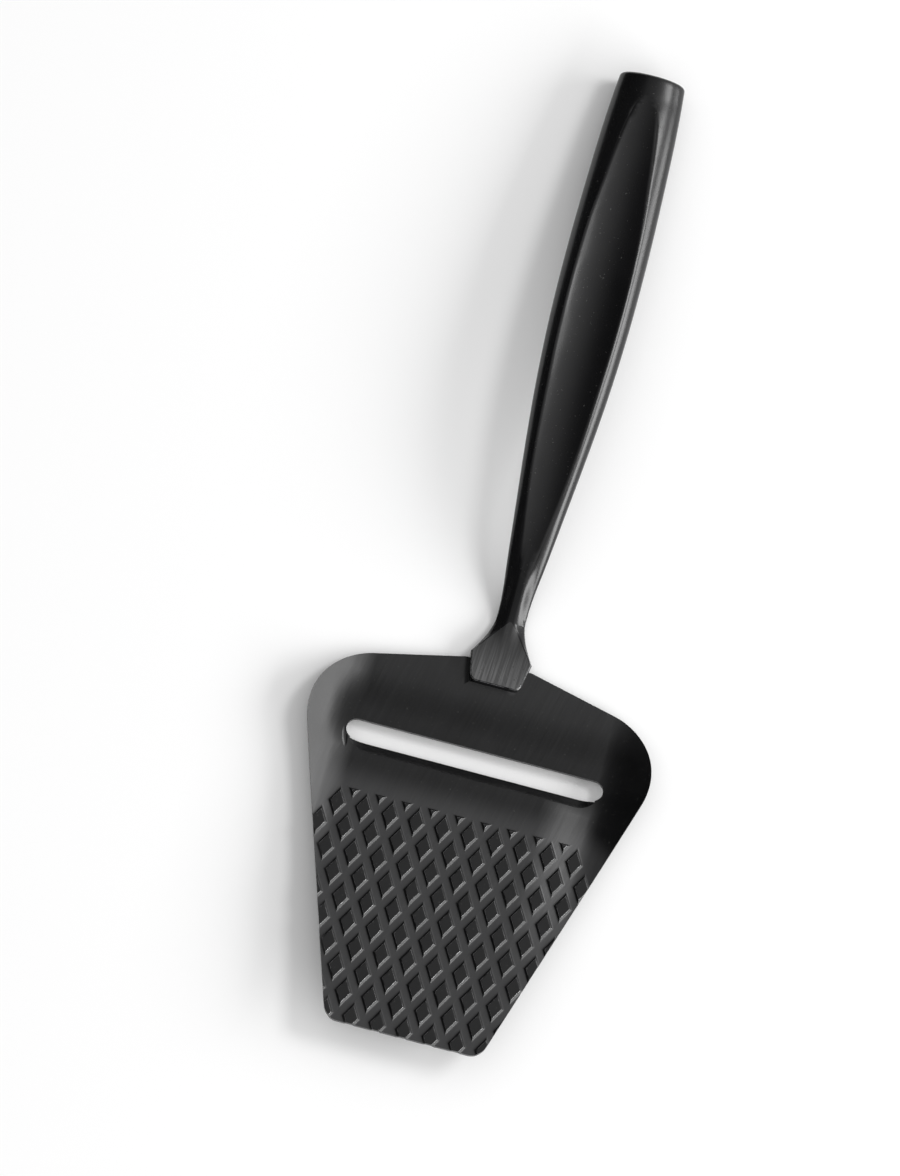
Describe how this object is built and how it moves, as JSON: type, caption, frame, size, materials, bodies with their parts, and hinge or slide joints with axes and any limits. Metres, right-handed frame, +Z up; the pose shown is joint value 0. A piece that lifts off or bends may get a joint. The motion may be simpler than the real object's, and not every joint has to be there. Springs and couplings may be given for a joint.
{
  "type": "cheese slicer",
  "caption": "Plane-type cheese slicer: a spade-shaped blade with a cutting slot and raised rhombic tiles, welded to a slim scooped handle.",
  "frame": {"origin": "on the table under the middle of the slicer's length, where it lies at rest on the heel of its blade and on the butt of its handle", "axes": "+Y from the tip of the blade to the butt of the handle, +Z up from the table, +X across the blade; the blade's sole leans 5 degrees, tip up"},
  "size_m": [0.0834, 0.2418, 0.013],
  "materials": {
    "coated_blade": "satin black non-stick coat on stamped sheet",
    "coated_handle": "semi-gloss black coat, brushed under it on the foot",
    "weld_metal": "bare weld metal, hidden between foot and blade"
  },
  "bodies": {
    "root": {"blade": "coated_blade", "handle": "coated_handle", "weld_nuggets": "weld_metal"}
  },
  "joints": []
}
